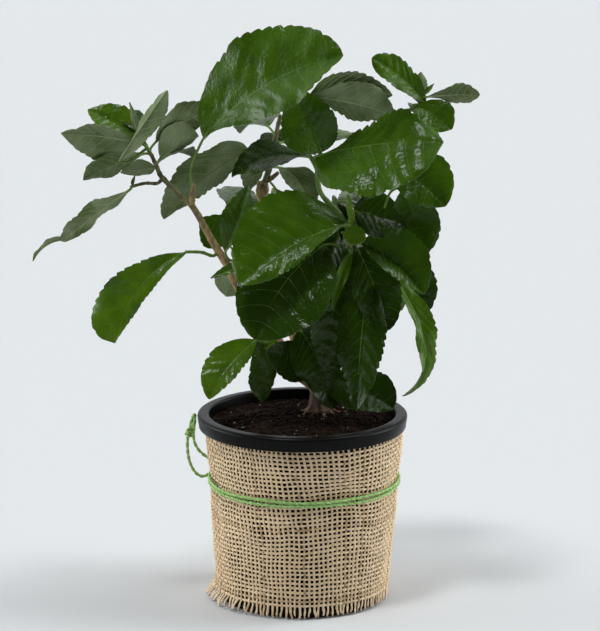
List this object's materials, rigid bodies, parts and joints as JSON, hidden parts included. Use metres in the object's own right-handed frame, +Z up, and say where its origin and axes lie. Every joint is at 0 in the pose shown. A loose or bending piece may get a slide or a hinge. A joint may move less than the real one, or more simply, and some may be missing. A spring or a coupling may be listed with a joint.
{
  "type": "hibiscus shrub",
  "caption": "Young hibiscus shrub with glossy toothed leaves in a round nursery pot, wrapped in burlap cloth and tied with green twine.",
  "frame": {"origin": "centre of the pot's flat underside", "axes": "+Z up, -Y towards the plant's front, +X to its right as seen from the front"},
  "size_m": [0.3353, 0.211, 0.4469],
  "materials": {
    "pot_plastic": "satin black moulded plastic",
    "soil": "dark damp potting soil with white grains",
    "jute": "open plain weave of natural jute",
    "twine": "light green two-ply twine",
    "bark": "pinkish tan bark, olive towards the tips",
    "leaf": "glossy dark green leaf with a paler underside"
  },
  "bodies": {
    "root": {"pot": "pot_plastic", "soil": "soil", "burlap_wrap": "jute", "twine_band_upper": "twine", "twine_band_lower": "twine", "twine_loop": "twine", "trunk": "bark", "bough_left": "bark", "bough_centre": "bark", "bough_right": "bark", "bough_right_top": "bark", "bough_back": "bark", "foliage_left_top": "leaf", "foliage_left_far": "leaf", "foliage_left_droop": "leaf", "foliage_left_mid": "leaf", "foliage_top": "leaf", "foliage_centre": "leaf", "foliage_right": "leaf", "foliage_right_top": "leaf", "foliage_right_side": "leaf", "foliage_front": "leaf", "foliage_right_low": "leaf", "foliage_low_left": "leaf", "foliage_low_mid": "leaf", "foliage_back_left": "leaf", "foliage_back_right": "leaf", "foliage_back_low": "leaf"}
  },
  "joints": []
}
